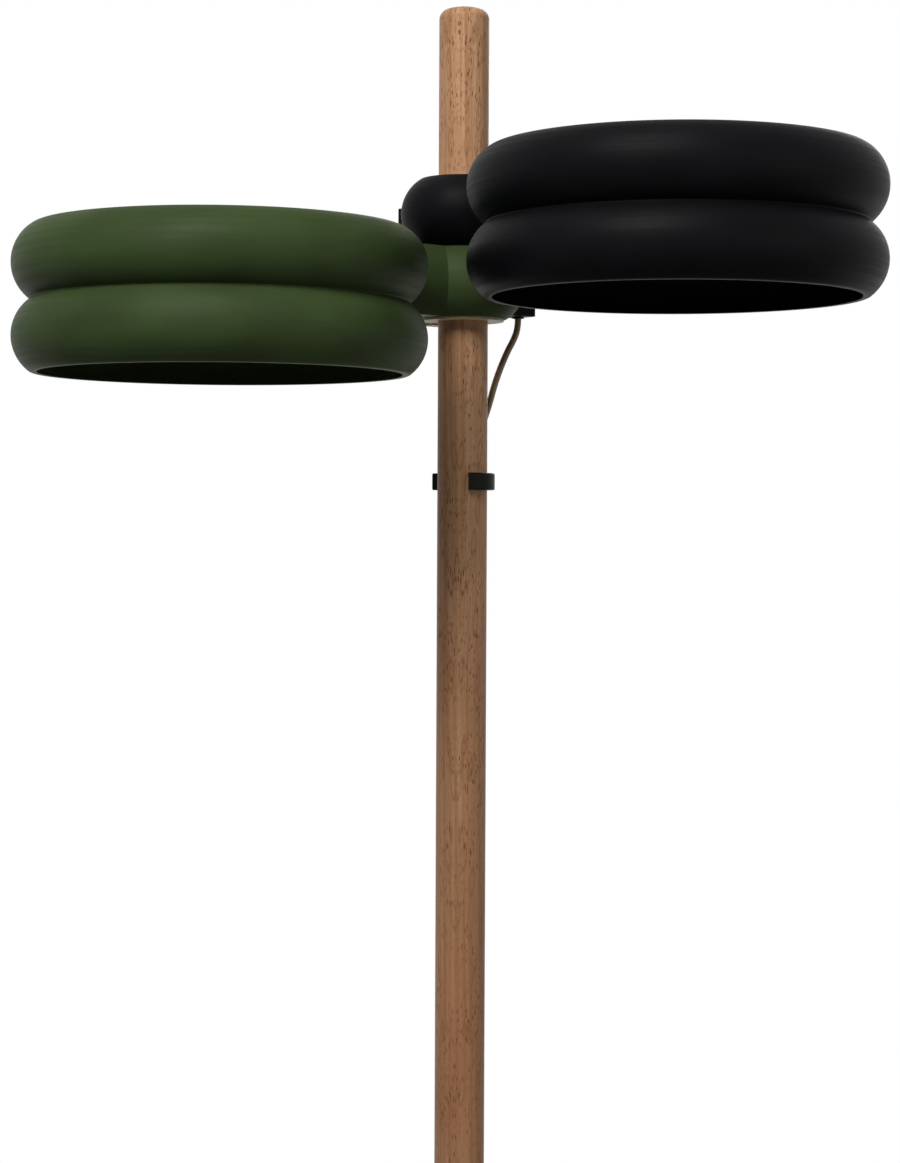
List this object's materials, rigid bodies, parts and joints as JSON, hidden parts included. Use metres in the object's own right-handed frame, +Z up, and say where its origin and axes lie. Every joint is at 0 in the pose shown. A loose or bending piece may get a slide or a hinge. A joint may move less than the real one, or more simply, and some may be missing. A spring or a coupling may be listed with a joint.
{
  "type": "tension pole lamp",
  "caption": "Wooden pole braced between floor and ceiling with swivelling ring-shaded lamp heads, a clipped cord and a screw jack foot.",
  "frame": {"origin": "centre of the foot's underside, on the floor", "axes": "+Z up along the pole, -Y the front that the picture shows, +X to the viewer's right"},
  "size_m": [0.4849, 0.4813, 2.4],
  "materials": {
    "beech": "oiled",
    "felt": "felt",
    "steel": "satin",
    "black_metal": "satin",
    "rubber": "matt",
    "aluminium": "satin",
    "black_print": "printed in layers, satin",
    "green_print": "printed in layers, satin",
    "nylon": "smooth",
    "board": "smooth",
    "opal": "matt",
    "cord": "smooth",
    "pins": "polished"
  },
  "bodies": {
    "stand": {"pole": "beech", "top_pad": "felt", "ferrule": "steel", "ferrule_screws": "steel", "guide_pin": "steel", "cable_clips": "black_print", "cord": "cord", "cord_coil": "cord", "cord_end": "cord", "cord_tie": "black_print", "plug_body": "cord", "plug_pins": "pins", "green_sleeve": "nylon"},
    "jack_foot": {"jack_screw": "steel", "foot_disc": "black_metal", "foot_rubber": "rubber"},
    "jack_wheel": {"jack_nut": "aluminium"},
    "black_slider": {"black_sleeve": "nylon"},
    "black_head": {"black_hub_arm": "black_print", "black_grub_screw": "steel", "black_shade": "black_print", "black_arm_screws": "steel", "black_heat_plate": "aluminium", "black_led_board": "board", "black_diffuser": "opal", "black_plate_screws": "steel", "black_cable_box": "black_print", "black_box_cover": "black_print", "black_box_screws": "steel", "black_gland": "black_print", "black_terminal": "opal", "black_led_lead": "cord"},
    "green_head": {"green_hub_arm": "green_print", "green_grub_screw": "steel", "green_shade": "green_print", "green_arm_screws": "steel", "green_heat_plate": "aluminium", "green_led_board": "board", "green_diffuser": "opal", "green_plate_screws": "steel", "green_cable_box": "black_print", "green_box_cover": "black_print", "green_box_screws": "steel", "green_gland": "black_print", "green_terminal": "opal", "green_led_lead": "cord"}
  },
  "joints": [
    {"name": "jack_turn", "type": "hinge", "parent": "stand", "child": "jack_wheel", "pos_m": [0, 0, 0.048], "axis": [0, 0, 1], "range_deg": [0, 3600]},
    {"name": "jack_slide", "type": "slide", "parent": "stand", "child": "jack_foot", "axis": [0, 0, 1], "range_m": [0, 0.02]},
    {"name": "black_height", "type": "slide", "parent": "stand", "child": "black_slider", "axis": [0, 0, 1], "range_m": [0, 0.08]},
    {"name": "black_swivel", "type": "hinge", "parent": "black_slider", "child": "black_head", "pos_m": [0, 0, 2.2761], "axis": [0, 0, 1], "range_deg": [-4, 85]},
    {"name": "green_swivel", "type": "hinge", "parent": "stand", "child": "green_head", "pos_m": [0, 0, 2.2341], "axis": [0, 0, 1], "range_deg": [-85, 4]}
  ],
  "couplings": [
    {"joint": "jack_slide", "follows": "jack_turn", "m_per_rad": 0.0003183}
  ]
}
